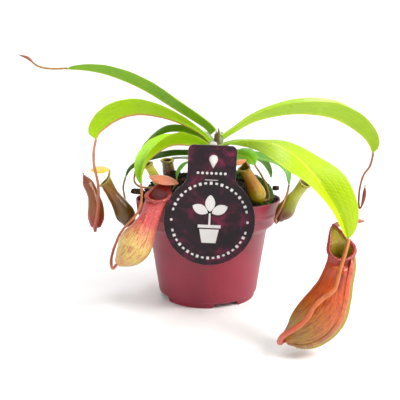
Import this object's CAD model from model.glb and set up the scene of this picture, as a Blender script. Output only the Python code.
"""Looks for the potted pitcher plant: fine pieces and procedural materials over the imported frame.

Sizes below are in millimetres, in the CAD model's frame, and MM turns them into metres.
"""

import math
import random

import bmesh
import bpy
from mathutils import Matrix, Vector, noise


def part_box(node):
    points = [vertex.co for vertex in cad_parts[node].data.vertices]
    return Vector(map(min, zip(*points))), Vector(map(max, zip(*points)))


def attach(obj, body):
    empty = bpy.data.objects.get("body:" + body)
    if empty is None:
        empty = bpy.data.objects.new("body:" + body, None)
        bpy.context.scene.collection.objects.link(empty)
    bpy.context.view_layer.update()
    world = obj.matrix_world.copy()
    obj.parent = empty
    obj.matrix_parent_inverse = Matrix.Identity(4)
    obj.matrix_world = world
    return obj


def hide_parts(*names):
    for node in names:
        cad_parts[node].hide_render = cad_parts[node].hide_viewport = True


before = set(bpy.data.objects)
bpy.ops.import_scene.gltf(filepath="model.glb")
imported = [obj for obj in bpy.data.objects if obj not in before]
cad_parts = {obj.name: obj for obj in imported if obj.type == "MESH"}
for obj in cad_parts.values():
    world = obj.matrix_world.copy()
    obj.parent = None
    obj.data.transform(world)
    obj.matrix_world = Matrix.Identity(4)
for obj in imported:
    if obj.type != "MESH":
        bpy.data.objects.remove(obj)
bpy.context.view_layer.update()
MM = 0.001
ALBEDO = 0.62  # the colours below are as seen in bright light
RANDOM = random.Random(7)
FULL_TURN = 6.283  # radians, near enough for what is scattered and for UVs
HALF_TURN = 3.14
LEAF_ROUGHNESS = 0.28
PITCHER_WALL = 0.8

# ---------------------------------------------------------------- the plant's measures

POT_HEIGHT = 83.0
FOOT_RADIUS = 40.0
FOOT_HEIGHT = 4.0
PAD_RADIUS = 15.0
FIRST_NOTCH = math.radians(-69)
NOTCH_WIDTH = 24.0
SOIL_EDGE_Z = 80.0
SOIL_TOP_Z = 101.0
SOIL_RADIUS = 57.6
SOIL_SHOULDER = 5.5
POCKETS = ((39.0, -35.0, 13.0, 16.0), (-36.0, -33.0, 11.0, 6.0), (-35.0, 39.0, 9.0, 3.0))
TAG_RADIUS = 32.5
TAG_NECK_WIDTH = 34.0
TAG_NECK_TOP = 53.8
TAG_CORNER = 4.0
TAG_FILLET = 2.5
TAG_TILT = math.radians(-2.5)
TAG_CENTRE = (0.0, -62.6, 75.0)
TAG_THICKNESS = 0.8
HOLE = (0.9, 44.0, 3.2, 6.6)  # across, up, radius, how far the point is below
HOLE_SIDE = (0.94, 0.34)  # where the round part ends, 20 degrees down, in radii
PEG_POINTS = 26  # the peg skips the hole's last two points, which lie on a straight side

LEAVES = {
    "far_left": dict(
        rib=((3, 2, 135.5), (-2, 3, 141), (-13, 5, 148), (-30, 7, 158), (-48, 8.5, 169),
             (-64, 10, 177), (-83, 11, 184), (-99, 12, 187.5), (-117, 12, 189)),
        width=11, widest=0.55, blunt=0.6, base=7, fold=(55, 58, 48), roll=(0, 0, 0)),
    "left": dict(
        rib=((1, -1.5, 129.5), (-6, -4, 136), (-19, -7, 143), (-33, -9, 148), (-46, -11, 150.5),
             (-56, -12, 151), (-66, -14, 149), (-75, -15, 145), (-82, -16, 140),
             (-86.5, -17, 136), (-88.8, -18, 131.5)),
        width=16.5, widest=0.78, blunt=0.4, base=2.5, fold=(66, 62, 66), roll=(0, 4, 0)),
    "front_left": dict(
        rib=((2, -5.5, 124), (-12, -20, 127), (-26, -33, 128), (-36, -46, 124), (-44, -57, 117),
             (-47, -64, 109), (-47.5, -67, 102)),
        width=12.5, widest=0.55, blunt=0.7, base=3, fold=(60, 55, 50), roll=(0, 6, 10)),
    "mid_left": dict(
        rib=((0, 4, 126), (-10, 6, 134), (-24, 6, 138), (-38, 4, 136), (-50, 1, 126),
             (-57, -3, 115), (-60, -6, 105)),
        width=12, widest=0.55, blunt=0.7, base=3, fold=(50, 15, 25), roll=(0, 15, 0)),
    "back_left": dict(
        rib=((1, 6, 117.5), (-15, 16, 118), (-30, 21, 117), (-45, 25, 114), (-58, 26, 110),
             (-68, 26, 104), (-73, 25, 97)),
        width=9, widest=0.5, blunt=0.7, base=2, fold=(50, 25, 30), roll=(0, 10, 0)),
    "small_left": dict(
        rib=((2, 7, 111), (-10, 24, 112), (-22, 38, 113), (-33, 48, 111), (-38, 53, 106)),
        width=5, widest=0.5, blunt=0.8, base=1.5, fold=(50, 25, 30), roll=(0, 0, 0)),
    "low_front": dict(
        rib=((5, -6, 112), (1, -20, 116), (-8, -34, 117), (-16, -39, 115), (-22, -42, 109),
             (-24, -44, 104)),
        width=7, widest=0.6, blunt=0.8, base=1.5, fold=(50, 15, 20), roll=(0, 25, 20)),
    "far_right": dict(
        rib=((12, 1.6, 132.2), (23, 4, 138.5), (38, 8, 146), (56, 12, 150.5), (74, 16, 152.5),
             (91, 20, 152), (107, 24, 149.5), (121, 27, 144), (134, 29, 136), (143, 31, 128),
             (149, 33, 118)),
        width=18, widest=0.7, blunt=0.5, base=3, fold=(60, 64, 56), roll=(0, 16, 12)),
    "front_right": dict(
        rib=((11.5, -4, 126), (21, -18, 130), (34, -38, 131), (46, -58, 129), (57, -76, 122),
             (66, -90, 111), (73, -101, 100), (79, -109, 88), (83, -113, 74)),
        width=16, widest=0.74, blunt=0.6, base=4, fold=(30, -22, -10, 7, 38, 45),
        roll=(20, 37, 30, 14, 14, 10)),
    "right": dict(
        rib=((12, -3, 122), (22, -8, 121), (33.5, -13, 118), (45, -18, 116), (54, -23, 113),
             (59.5, -27, 107), (62, -31, 97)),
        width=9, widest=0.6, blunt=0.8, base=2, fold=(50, 20, 30), roll=(0, 15, 0)),
    "low_right": dict(
        rib=((10.5, -6.5, 115), (16, -15, 119), (23, -24, 120), (30, -31, 118), (35, -35, 113)),
        width=9, widest=0.66, blunt=0.7, base=2, fold=(50, 10, 20), roll=(0, 30, 20)),
    "back_right": dict(
        rib=((11, 5, 117), (28, 22, 118), (40, 32, 114), (50, 40, 109), (57, 45, 101),
             (60, 47, 94)),
        width=7, widest=0.6, blunt=0.8, base=2, fold=(50, 30, 30), roll=(0, 0, 0)),
    "back": dict(
        rib=((7, 6.5, 122), (7, 20, 128), (6, 42, 130), (6, 62, 128), (7, 80, 121),
             (8, 93, 109), (9, 98, 96)),
        width=13, widest=0.6, blunt=0.7, base=3, fold=(60, 45, 35), roll=(0, 0, 0)),
}
TENDRILS = {
    "far_left": dict(
        route=((-118.5, 12, 189.3), (-127, 12, 189), (-136, 11.5, 189.5), (-141, 10.5, 191),
               (-144.4, 9.6, 193.3)),
        radii=(0.9, 0.8)),
    "left": dict(
        route=((-89.1, -18.1, 130), (-90.6, -19, 122), (-90.5, -20, 111), (-88, -20, 97),
               (-88, -20, 84), (-89.5, -19, 71), (-92.5, -16, 60.6), (-93.4, -11.6, 56.2)),
        radii=(0.9, 1.4)),
    "front_left": dict(
        route=((-47.4, -68, 100.4), (-47, -70, 95), (-47.5, -71, 89), (-50.3, -72.3, 82),
               (-55.5, -71, 76), (-60.5, -66.5, 70.5), (-64.5, -61, 65), (-67.5, -56.5, 59),
               (-70.2, -55.5, 52.5), (-71.6, -58.5, 46), (-70.6, -63.5, 41.8),
               (-68.6, -67, 41.6)),
        radii=(0.8, 1.1)),
    "mid_left": dict(
        route=((-60.2, -7.2, 103), (-60, -12, 97.5), (-55, -18, 94), (-46, -22, 93.5),
               (-38.4, -24, 94)),
        radii=(0.8, 0.9)),
    "back_left": dict(
        route=((-73.6, 24.8, 95), (-75, 23, 88), (-73.5, 20, 80), (-72, 16, 72),
               (-71.3, 13.4, 63), (-70, 11.2, 57.6), (-68.3, 7, 53.9)),
        radii=(0.8, 1.0)),
    "small_left": dict(
        route=((-38.4, 53.4, 104), (-38.5, 53, 100), (-37, 50, 96.5), (-35.2, 45, 94.4)),
        radii=(0.7, 0.8)),
    "low_front": dict(
        route=((-24.2, -44.6, 102.4), (-25, -46.5, 99), (-27, -48, 96), (-30, -48, 94.6)),
        radii=(0.6, 0.5)),
    "far_right": dict(
        route=((149.2, 33, 116), (147, 33, 106), (141, 31, 98), (138, 30, 87), (136.8, 28, 76),
               (137.2, 26.6, 69)),
        radii=(0.9, 0.9)),
    "front_right": dict(
        route=((83, -114.3, 72.3), (79.5, -119, 65), (76, -123, 57), (73.5, -126, 50),
               (71, -127.5, 46), (65, -129.5, 42.5), (59.5, -131, 38), (57, -131.5, 33.5),
               (53, -132, 28.5), (47.5, -131.5, 24), (43.2, -129, 20), (41.5, -124.5, 14.5),
               (42.6, -119.5, 10.6)),
        radii=(1.0, 1.8)),
    "right": dict(
        route=((61.6, -32, 95.2), (59.5, -39, 92), (56.5, -46, 88.3), (53.5, -49.5, 83),
               (51, -49.5, 78), (49.5, -47.5, 74), (50.6, -44, 69.8)),
        radii=(0.8, 1.0)),
    "low_right": dict(
        route=((35.6, -35.2, 111.6), (39.5, -33, 106), (43.5, -31, 99), (46, -31, 92),
               (46.2, -32.2, 86)),
        radii=(0.7, 0.9)),
    "back": dict(
        route=((9.1, 98.4, 94), (9.5, 102, 84), (10, 104, 70), (9, 105, 52), (7, 102, 38),
               (6, 96, 30), (6, 90.6, 29)),
        radii=(0.9, 1.2)),
}
PITCHERS = {
    "far_left": dict(
        axis=((-144.9, 9.2, 193.9), (-147.2, 8.5, 196.3), (-149.6, 8, 197.8), (-154, 7, 199)),
        radii=(0.9, 1.3, 1.4, 1.0, 0.5), mouth=None, lid=None),
    "left": dict(
        axis=((-93.6, -8, 58.6), (-93.6, -6, 66), (-93.8, -5, 77), (-97, -3, 88),
              (-103.5, -1.5, 101)),
        radii=(4.6, 7.2, 7.5, 6.6, 5.4, 5.0, 4.6, 1.2), mouth=None, lid=None),
    "front_left": dict(
        axis=((-65.5, -68, 45.2), (-61, -67.5, 49), (-56, -67, 54), (-51.5, -65.5, 61),
              (-47.4, -63.5, 68), (-43.2, -61, 76), (-39.8, -58.5, 84.5), (-36.6, -57, 92.2)),
        radii=(2.8, 9.2, 12.1, 11.4, 8.8, 7.2, 7.5, 8.6),
        mouth=(-0.05, -0.42, 0.9),
        lid=dict(centre=(-33, -51.5, 103), normal=(0.22, -0.36, 0.9), along=(1, 0.05, -0.28),
                 length=22, width=13)),
    "mid_left": dict(
        axis=((-36, -26, 93.5), (-38.5, -29, 97), (-41, -32, 103), (-46, -34, 112.5)),
        radii=(1.8, 3.4, 3.9, 3.6, 3.4), mouth=(-0.5, -0.35, 0.79), lid=None),
    "back_left": dict(
        axis=((-67.4, 4, 58), (-69.5, 4, 65), (-75, 3, 76), (-80.5, 2, 85), (-86, 1, 95.5)),
        radii=(5.0, 8.4, 9.0, 7.6, 6.2, 5.4, 5.4, 6.0),
        mouth=(-0.62, -0.20, 0.76),
        lid=dict(centre=(-90.5, 1.0, 105.6), normal=(0.05, -0.42, 0.9), along=(1, 0.1, 0.02),
                 length=16, width=11)),
    "small_left": dict(
        axis=((-35, 42, 94), (-35, 38, 97), (-35.5, 37, 103), (-36.5, 37, 110.5)),
        radii=(2.0, 5.2, 5.8, 5.2, 5.2), mouth=(0, -0.3, 0.95), lid=None),
    "far_right": dict(
        axis=((138.6, 25.6, 69.6), (139.6, 25.2, 74), (140.4, 24.8, 80), (140.6, 24.6, 87.5)),
        radii=(0.8, 1.5, 1.8, 1.6, 0.6), mouth=None, lid=None),
    "front_right": dict(
        axis=((46.6, -115, 10.6), (54, -115.5, 14.4), (61.8, -115, 20.4), (69.2, -113.5, 28.6),
              (74.8, -111, 38.7), (78.3, -109, 47.9), (81, -107.5, 56.6), (81.4, -107, 65.7)),
        radii=(4.0, 10.8, 13.6, 13.8, 11.8, 9.6, 8.7, 8.0),
        mouth=(-0.15, -0.72, 0.68), back=(0, 1, 0),
        lid=dict(centre=(88.2, -97.5, 80.8), normal=(-0.1, 0.5, 0.87), along=(1, 0, 0.16),
                 length=20, width=11, hinge=(-1, 0, 0))),
    "right": dict(
        axis=((53.4, -40, 70.6), (55, -40, 74), (59, -39.5, 79.5), (63.2, -39, 86.4),
              (67.7, -38.5, 92.4), (72.4, -38, 98.9)),
        radii=(2.6, 6.0, 7.2, 6.2, 5.2, 4.4, 4.4, 4.8),
        mouth=(0.45, -0.45, 0.77),
        lid=dict(centre=(78, -33.5, 104), normal=(0.1, 0.3, 0.95), along=(1, 0, 0.1),
                 length=12, width=8)),
    "low_right": dict(
        axis=((39.6, -34, 84), (37.8, -35, 88), (34.4, -37, 96), (30.3, -38.5, 104),
              (26.5, -39.5, 110)),
        radii=(3.0, 6.4, 7.0, 6.2, 5.2, 4.6, 4.4, 4.4),
        mouth=(-0.25, -0.35, 0.9),
        lid=dict(centre=(22.6, -43, 115.2), normal=(-0.3, -0.45, 0.84), along=(1, 0.0, 0.42),
                 length=11, width=6.5)),
    "back": dict(
        axis=((6, 88.5, 30.5), (6.5, 85, 36), (7, 83, 46), (8, 81, 58), (8.5, 80, 72)),
        radii=(3.0, 8.0, 9.4, 8.2, 6.6, 6.0, 6.4, 7.2),
        mouth=(0.0, 0.35, 0.93),
        lid=dict(centre=(8.5, 74, 83), normal=(0.0, 0.42, 0.9), along=(1, 0, 0),
                 length=17, width=12)),
}

# ---------------------------------------------------------------- mesh helpers


def spline(points, steps):
    points = [Vector(p) for p in points]
    padded = [2 * points[0] - points[1], *points, 2 * points[-1] - points[-2]]
    found = []
    for a, b, c, d in zip(padded, padded[1:], padded[2:], padded[3:]):
        for step in range(steps):
            t = step / steps
            found.append(0.5 * (2 * b + (c - a) * t + (2 * a - 5 * b + 4 * c - d) * t ** 2
                                + (3 * b - a - 3 * c + d) * t ** 3))
    found.append(points[-1])
    return found


def even_points(points, count):
    fine = spline(points, 24)
    reached = [0.0]
    for a, b in zip(fine, fine[1:]):
        reached.append(reached[-1] + (b - a).length)
    found = []
    here = 0
    for index in range(count):
        target = reached[-1] * index / (count - 1)
        while here < len(fine) - 2 and reached[here + 1] < target:
            here += 1
        span = reached[here + 1] - reached[here]
        found.append(fine[here].lerp(fine[here + 1], (target - reached[here]) / span))
    return found


def tangents(points):
    ahead = [*points[1:], points[-1]]
    behind = [points[0], *points[:-1]]
    return [(a - b).normalized() for a, b in zip(ahead, behind)]


def read_at(values, s):
    place = min(max(s, 0.0), 1.0) * (len(values) - 1)
    low = min(int(place), len(values) - 2)
    return values[low] + (values[low + 1] - values[low]) * (place - low)


def smooth_at(values, s):
    """Read evenly spaced values along a smooth curve through them."""
    place = min(max(s, 0.0), 1.0) * (len(values) - 1)
    low = min(int(place), len(values) - 2)
    t = place - low
    b, c = values[low], values[low + 1]
    a = values[low - 1] if low > 0 else 2 * b - c
    d = values[low + 2] if low + 2 < len(values) else 2 * c - b
    return 0.5 * (2 * b + (c - a) * t + (2 * a - 5 * b + 4 * c - d) * t * t
                  + (3 * b - a - 3 * c + d) * t ** 3)


def step_up(low, high, value):
    t = min(max((value - low) / (high - low), 0.0), 1.0)
    return t * t * (3 - 2 * t)


class Sheet:
    """Collects a mesh in millimetres with a UV place and a zone number at each point."""

    def __init__(self):
        self.verts, self.faces, self.uvs, self.zones = [], [], [], []

    def point(self, place, u=0.0, v=0.0, zone=0.0):
        self.verts.append(Vector(place))
        self.uvs.append((u, v))
        self.zones.append(zone)
        return len(self.verts) - 1

    def row(self, places, us, vs, zone=0.0):
        """A point at each place; us and vs are lists, or one number for the whole row."""
        if not isinstance(us, list):
            us = [us] * len(places)
        if not isinstance(vs, list):
            vs = [vs] * len(places)
        return [self.point(p, u, v, zone) for p, u, v in zip(places, us, vs)]

    def join(self, first, second, closed=True):
        count = len(first)
        for i in range(count if closed else count - 1):
            j = (i + 1) % count
            self.faces.append((first[i], first[j], second[j], second[i]))

    def skin(self, rows, closed=True):
        for first, second in zip(rows, rows[1:]):
            self.join(first, second, closed)

    def shell(self, top, low):
        """Two grids of points, joined at their edges into one thin closed body."""
        self.skin(top, closed=False)
        self.skin(low, closed=False)
        for i in range(len(top) - 1):
            for k in (0, -1):
                self.faces.append((top[i][k], top[i + 1][k], low[i + 1][k], low[i][k]))
        for k in range(len(top[0]) - 1):
            for i in (0, -1):
                self.faces.append((top[i][k], top[i][k + 1], low[i][k + 1], low[i][k]))

    def cap(self, ring, place, u, v, zone=0.0, flip=False):
        tip = self.point(place, u, v, zone)
        for i in range(len(ring)):
            j = (i + 1) % len(ring)
            self.faces.append((ring[j], ring[i], tip) if flip else (ring[i], ring[j], tip))

    def build(self, name, material, stands_for=(), angle=50):
        mesh = bpy.data.meshes.new(name)
        mesh.from_pydata([v * MM for v in self.verts], [], self.faces)
        layer = mesh.uv_layers.new(name="UVMap")
        zone = mesh.attributes.new("zone", "FLOAT", "POINT")
        for index, value in enumerate(self.zones):
            zone.data[index].value = value
        for loop in mesh.loops:
            layer.data[loop.index].uv = self.uvs[loop.vertex_index]
        work = bmesh.new()
        work.from_mesh(mesh)
        bmesh.ops.recalc_face_normals(work, faces=work.faces)
        work.to_mesh(mesh)
        work.free()
        mesh.materials.append(material)
        mesh.shade_smooth()
        mesh.set_sharp_from_angle(angle=math.radians(angle))
        made = bpy.data.objects.new(name, mesh)
        bpy.context.scene.collection.objects.link(made)
        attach(made, "root")
        if stands_for:
            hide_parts(*stands_for)


def add_tube(sheet, points, radius_at, sides, zone=0.0):
    """A round rod along the points, closed with a rounded end at both ends."""
    directions = tangents(points)
    side = directions[0].orthogonal().normalized()
    rings = []
    last = len(points) - 1
    for index, (place, direction) in enumerate(zip(points, directions)):
        side = (side - direction * side.dot(direction)).normalized()
        other = direction.cross(side)
        s = index / last
        radius = radius_at(s)
        ring = []
        for k in range(sides):
            a = 2 * math.pi * k / sides
            ring.append(place + (side * math.cos(a) + other * math.sin(a)) * radius)
        rings.append(sheet.row(ring, s, [k / sides for k in range(sides)], zone))
    sheet.skin(rings)
    sheet.cap(rings[0], points[0] - directions[0] * radius_at(0.0) * 0.6, 0, 0.5, zone, flip=True)
    sheet.cap(rings[-1], points[-1] + directions[-1] * radius_at(1.0) * 0.6, 1, 0.5, zone)


def ball(subdivisions):
    """The points and the faces of a round ball of radius 1."""
    work = bmesh.new()
    bmesh.ops.create_icosphere(work, subdivisions=subdivisions, radius=1.0)
    work.verts.index_update()
    points = [vert.co.copy() for vert in work.verts]
    faces = [[vert.index for vert in face.verts] for face in work.faces]
    work.free()
    return points, faces


def add_hair(sheet, root, lean, bend, length, zone=0.0, foot=0.16):
    """A fine tapering bristle, with a point of its own at the distance bend."""
    add_tube(sheet, [root, root + lean * bend, root + lean * length],
             lambda t: foot * (1 - t) + 0.04, 5, zone)


# ---------------------------------------------------------------- material helpers


def rgb(red, green, blue):
    """A colour as seen on screen, from 0 to 255, turned into linear light."""
    return tuple(ALBEDO * ((c / 255 / 12.92) if c / 255 <= 0.04045
                           else ((c / 255 + 0.055) / 1.055) ** 2.4)
                 for c in (red, green, blue)) + (1.0,)


class Paint:
    """A material and short names for the nodes that it is made of."""

    def __init__(self, name, roughness=0.5, coat=0.0, subsurface=0.0, specular=0.5):
        self.material = bpy.data.materials.new(name)
        self.material.use_nodes = True
        self.tree = self.material.node_tree
        self.shader = self.tree.nodes["Principled BSDF"]
        self.shader.inputs["Roughness"].default_value = roughness
        self.shader.inputs["Coat Weight"].default_value = coat
        self.shader.inputs["Coat Roughness"].default_value = 0.25
        self.shader.inputs["Specular IOR Level"].default_value = specular
        self.shader.inputs["Subsurface Weight"].default_value = subsurface
        self.shader.inputs["Subsurface Radius"].default_value = (0.6, 0.6, 0.15)
        self.shader.inputs["Subsurface Scale"].default_value = 0.003
        self.coordinates = self.tree.nodes.new("ShaderNodeTexCoord")
        self.object = self.coordinates.outputs["Object"]
        split = self.tree.nodes.new("ShaderNodeSeparateXYZ")
        self.tree.links.new(self.coordinates.outputs["UV"], split.inputs[0])
        self.u, self.v = split.outputs[0], split.outputs[1]

    def feed(self, socket, value):
        if isinstance(value, bpy.types.NodeSocket):
            self.tree.links.new(value, socket)
        else:
            socket.default_value = value

    def zone(self):
        node = self.tree.nodes.new("ShaderNodeAttribute")
        node.attribute_name = "zone"
        return node.outputs["Fac"]

    def calc(self, operation, a, b=0.0):
        node = self.tree.nodes.new("ShaderNodeMath")
        node.operation = operation
        for socket, value in zip(node.inputs, (a, b)):
            self.feed(socket, value)
        return node.outputs[0]

    def times(self, a, b):
        return self.calc("MULTIPLY", a, b)

    def plus(self, a, b):
        return self.calc("ADD", a, b)

    def minus(self, a, b):
        return self.calc("SUBTRACT", a, b)

    def noise(self, scale, detail=3.0, where=None, distortion=0.0):
        node = self.tree.nodes.new("ShaderNodeTexNoise")
        self.feed(node.inputs["Vector"], where or self.object)
        node.inputs["Scale"].default_value = scale
        node.inputs["Detail"].default_value = detail
        node.inputs["Distortion"].default_value = distortion
        return node.outputs[0]

    def cells(self, scale):
        node = self.tree.nodes.new("ShaderNodeTexVoronoi")
        self.feed(node.inputs["Vector"], self.object)
        node.inputs["Scale"].default_value = scale
        return node.outputs["Distance"]

    def vector(self, x, y, z=0.0):
        node = self.tree.nodes.new("ShaderNodeCombineXYZ")
        for socket, value in zip(node.inputs, (x, y, z)):
            self.feed(socket, value)
        return node.outputs[0]

    def ramp(self, value, stops):
        node = self.tree.nodes.new("ShaderNodeValToRGB")
        self.feed(node.inputs[0], value)
        while len(node.color_ramp.elements) < len(stops):
            node.color_ramp.elements.new(0.5)
        for element, (place, colour) in zip(node.color_ramp.elements, stops):
            element.position = place
            element.color = colour
        return node.outputs[0]

    def window(self, value, low, high):
        """0 below low, 1 above high, smooth between; either way round."""
        node = self.tree.nodes.new("ShaderNodeMapRange")
        node.interpolation_type = "SMOOTHSTEP"
        self.feed(node.inputs[0], value)
        flip = low > high
        node.inputs[1].default_value = min(low, high)
        node.inputs[2].default_value = max(low, high)
        node.inputs[3].default_value = 1.0 if flip else 0.0
        node.inputs[4].default_value = 0.0 if flip else 1.0
        return node.outputs[0]

    def mix(self, share, a, b, blend="MIX"):
        node = self.tree.nodes.new("ShaderNodeMix")
        node.data_type = "RGBA"
        node.blend_type = blend
        self.feed(node.inputs[0], share)
        self.feed(node.inputs[6], a)
        self.feed(node.inputs[7], b)
        return node.outputs[2]

    def finish(self, colour, roughness=None, height=None, depth=0.0004, strength=0.6):
        self.feed(self.shader.inputs["Base Color"], colour)
        if roughness is not None:
            self.feed(self.shader.inputs["Roughness"], roughness)
        if height is not None:
            node = self.tree.nodes.new("ShaderNodeBump")
            node.inputs["Strength"].default_value = strength
            node.inputs["Distance"].default_value = depth
            self.feed(node.inputs["Height"], height)
            self.tree.links.new(node.outputs[0], self.shader.inputs["Normal"])
        return self.material


# ---------------------------------------------------------------- camera, light and floor

LENS = 42.12
SENSOR = 36
CAMERA_PLACE = (-0.0067, -0.390, 0.142)  # metres
CAMERA_TILT = math.radians(81)  # from straight down
PLANT_MIDDLE = (0, 0, 0.1)  # metres
WALL_LIGHTS = 4
FLAT_FLOOR = 1500
FLOOR_CURVE = 700
FLOOR_SIDES = 96

camera_data = bpy.data.cameras.new("camera")
camera_data.lens = LENS
camera_data.sensor_width = SENSOR
camera = bpy.data.objects.new("camera", camera_data)
camera.location = CAMERA_PLACE
camera.rotation_euler = (CAMERA_TILT, 0, 0)
bpy.context.scene.collection.objects.link(camera)
bpy.context.scene.camera = camera
bpy.context.scene.view_settings.view_transform = "Standard"


def area_light(name, place, aim, width, energy, tint=(1, 1, 1)):
    data = bpy.data.lights.new(name, "AREA")
    data.size = width
    data.energy = energy
    data.color = tint
    light = bpy.data.objects.new(name, data)
    light.location = place
    light.rotation_euler = (Vector(aim) - Vector(place)).to_track_quat("-Z", "Y").to_euler()
    bpy.context.scene.collection.objects.link(light)


area_light("key", (0.85, -0.45, 0.95), PLANT_MIDDLE, 0.5, 19.0, (1.0, 0.985, 0.96))
area_light("fill", (-0.5, -1.1, 0.5), PLANT_MIDDLE, 0.8, 0.5)
area_light("top", (-0.2, 0.35, 1.2), PLANT_MIDDLE, 0.7, 5.0)
for turn in range(WALL_LIGHTS):
    angle = math.pi / 2 * turn
    place = Vector((0.5 * math.cos(angle), 0.5 * math.sin(angle), 1.5))
    area_light(f"wall_{turn + 1}", place, Vector((3 * math.cos(angle), 3 * math.sin(angle), 0.3)),
               0.6, 17.0)

world = bpy.data.worlds.new("world")
world.use_nodes = True
world.node_tree.nodes["Background"].inputs[0].default_value = (1, 1, 1, 1)
world.node_tree.nodes["Background"].inputs[1].default_value = 0.20
bpy.context.scene.world = world

floor_paint = Paint("floor_paint", roughness=0.5, specular=0.3)
floor_paint.finish(floor_paint.ramp(floor_paint.noise(3.0), ((0.3, (0.91, 0.91, 0.91, 1)),
                                                             (0.7, (0.93, 0.93, 0.93, 1)))))
floor_profile = [(0.001, 0), (900, 0), (FLAT_FLOOR, 0)]
floor_profile += [(FLAT_FLOOR + FLOOR_CURVE * math.sin(a), FLOOR_CURVE * (1 - math.cos(a)))
                  for a in (math.radians(9 * k) for k in range(1, 11))]
floor_profile.append((FLAT_FLOOR + FLOOR_CURVE, 1500))
floor_mesh = bpy.data.meshes.new("floor")
floor_work = bmesh.new()
floor_turns = [2 * math.pi * k / FLOOR_SIDES for k in range(FLOOR_SIDES)]
floor_rings = [[floor_work.verts.new((r * MM * math.cos(a), r * MM * math.sin(a), z * MM))
                for a in floor_turns] for r, z in floor_profile]
for lower, upper in zip(floor_rings, floor_rings[1:]):
    for k in range(FLOOR_SIDES):
        j = (k + 1) % FLOOR_SIDES
        floor_work.faces.new((lower[k], lower[j], upper[j], upper[k]))
floor_work.faces.new(floor_rings[0])
floor_work.to_mesh(floor_mesh)
floor_work.free()
floor_mesh.materials.append(floor_paint.material)
floor_mesh.shade_smooth()
floor_object = bpy.data.objects.new("floor", floor_mesh)
bpy.context.scene.collection.objects.link(floor_object)

# ---------------------------------------------------------------- pot


def pot_paint():
    p = Paint("pot_plastic_paint", roughness=0.42, specular=0.45)
    mottle = p.noise(28.0, 4.0)
    grain = p.noise(900.0, 2.0)
    base = p.mix(p.window(mottle, 0.35, 0.65), rgb(150, 32, 56), rgb(166, 40, 64))
    scuff_lines = p.noise(60.0, 4.0, p.vector(p.times(p.u, 6.0), p.times(p.v, 0.6)), 0.5)
    base = p.mix(p.times(p.window(scuff_lines, 0.66, 0.8), 0.35), base, rgb(214, 110, 128))
    dusty = p.window(p.noise(110.0, 5.0), 0.62, 0.72)
    base = p.mix(p.times(dusty, 0.12), base, rgb(90, 40, 45))
    rough = p.plus(p.times(mottle, 0.18), 0.34)
    height = p.plus(p.times(grain, 0.35), p.times(scuff_lines, 0.4))
    return p.finish(base, rough, height, depth=0.00025, strength=0.35)


def build_pot():
    """A thin-walled pot with two soft bands, fine grooves and a notched foot ring."""
    outside = [(38.0, 0.3), (38.6, 0), (39.6, 0), (40.0, 0.4), (40.3, 3.7), (41.0, 4.2),
               (41.7, 4.9), (42.0, 6.0), (44.6, 24.0), (47.6, 44.0), (49.6, 57.5),
               (50.7, 58.6), (53.0, 60.8), (55.0, 62.4), (55.5, 63.2), (55.9, 64.6),
               (56.1, 68.6), (56.3, 69.0), (57.9, 70.2), (58.9, 70.7), (59.25, 71.6),
               (59.4, 73.2), (59.2, 73.5), (59.5, 73.9), (60.2, 81.6), (60.4, 82.4),
               (60.1, 82.9), (59.8, 83.0)]
    inside = [(59.4, 82.9), (59.1, 82.3), (57.9, 71.9), (55.0, 69.5), (54.6, 63.4),
              (48.6, 58.0), (40.8, 8.0), (39.8, 5.4)]
    under = [(0.01, 0.0), (PAD_RADIUS - 0.4, 0.0), (PAD_RADIUS, 0.4), (PAD_RADIUS, FOOT_HEIGHT),
             (38.0, FOOT_HEIGHT)]
    sheet = Sheet()
    segments = 180
    notches = [FIRST_NOTCH + math.pi / 2 * k for k in range(4)]

    def foot(radius, height, angle):
        if radius < 37 or height > 3.5:
            return height
        nearest = min(abs((angle - n + math.pi) % (2 * math.pi) - math.pi) for n in notches)
        inside_share = 1 - step_up(NOTCH_WIDTH / 2 - 2.6, NOTCH_WIDTH / 2 - 0.6,
                                   nearest * FOOT_RADIUS)
        return height + (3.6 - height) * inside_share

    profile = under + outside + inside
    rings = []
    for index, (radius, height) in enumerate(profile):
        places, us = [], []
        for k in range(segments):
            a = 2 * math.pi * k / segments
            wobble = 0.10 * noise.noise(Vector((math.cos(a) * 1.5, math.sin(a) * 1.5,
                                                height * 0.02)))
            r = radius + (wobble if radius > 42 and index > len(under) else 0)
            places.append((r * math.cos(a), r * math.sin(a), foot(radius, height, a)))
            us.append(k / segments)
        rings.append(sheet.row(places, us, height / POT_HEIGHT))
    sheet.skin(rings)
    sheet.cap(rings[0], (0, 0, 0), 0, 0, flip=True)
    sheet.cap(rings[-1], (0, 0, 5.3), 0, 0)
    sheet.build("pot_shell", pot_paint(), ("pot",), angle=38)


# ---------------------------------------------------------------- soil, moss and bark


def soil_height(x, y):
    share = min(math.hypot(x, y) / SOIL_RADIUS, 1.0)
    height = SOIL_EDGE_Z + (SOIL_TOP_Z - SOIL_EDGE_Z) * (1 - share ** SOIL_SHOULDER)
    for px, py, radius, depth in POCKETS:
        height -= depth * math.exp(-(math.hypot(x - px, y - py) / radius) ** 4)
    lumps = noise.noise(Vector((x, y, 3.0)) * 0.11) + 0.6 * noise.noise(Vector((x, y, 9)) * 0.23)
    return max(height, SOIL_EDGE_Z - 2.5) + 1.3 * lumps * (1 - share ** 6)


def soil_paint():
    p = Paint("soil_paint", roughness=0.95, specular=0.2)
    fibre = p.noise(520.0, 6.0, distortion=0.8)
    base = p.ramp(fibre, ((0.32, rgb(12, 9, 8)), (0.5, rgb(30, 23, 18)), (0.62, rgb(58, 44, 32)),
                          (0.78, rgb(100, 80, 58))))
    return p.finish(base, None, p.noise(700.0, 5.0), depth=0.0009, strength=0.9)


CRUMB = ball(1)


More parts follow.
